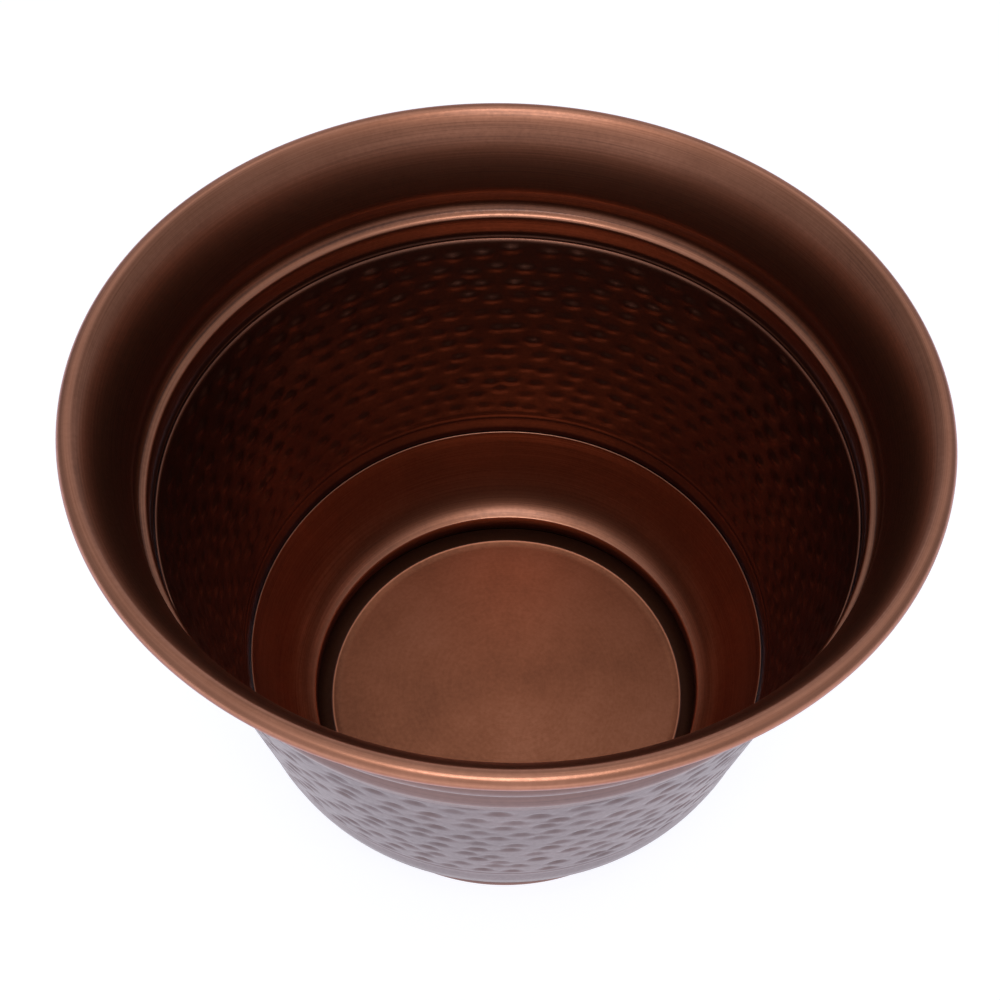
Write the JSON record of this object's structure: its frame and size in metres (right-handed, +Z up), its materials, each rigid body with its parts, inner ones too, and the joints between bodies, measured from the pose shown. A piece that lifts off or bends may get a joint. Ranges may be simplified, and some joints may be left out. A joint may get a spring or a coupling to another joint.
{
  "type": "hammered metal pot",
  "caption": "Wide flared sheet-metal pot with a wired lip, hammered conical wall, tucked-in bowl, flared foot ring and raised floor.",
  "frame": {"origin": "centre of the ground face under the foot ring", "axes": "+Z up along the pot's axis of revolution; X and Y are free, because the pot is round"},
  "size_m": [0.406, 0.406, 0.32],
  "materials": {
    "satin_copper": "spun sheet with a dark antique copper patina, satin, fine turning lines",
    "hammered_copper": "hammered sheet with a dark antique copper patina, satin",
    "floor_copper": "matt antique copper patina with cloudy tarnish",
    "steel_wire": "plain drawn wire, hidden inside the rolled lip"
  },
  "bodies": {
    "root": {"rim_wire": "steel_wire", "flared_collar": "satin_copper", "hammered_wall": "hammered_copper", "lower_bowl": "satin_copper", "foot_ring": "satin_copper", "floor_pan": "floor_copper"}
  },
  "joints": []
}
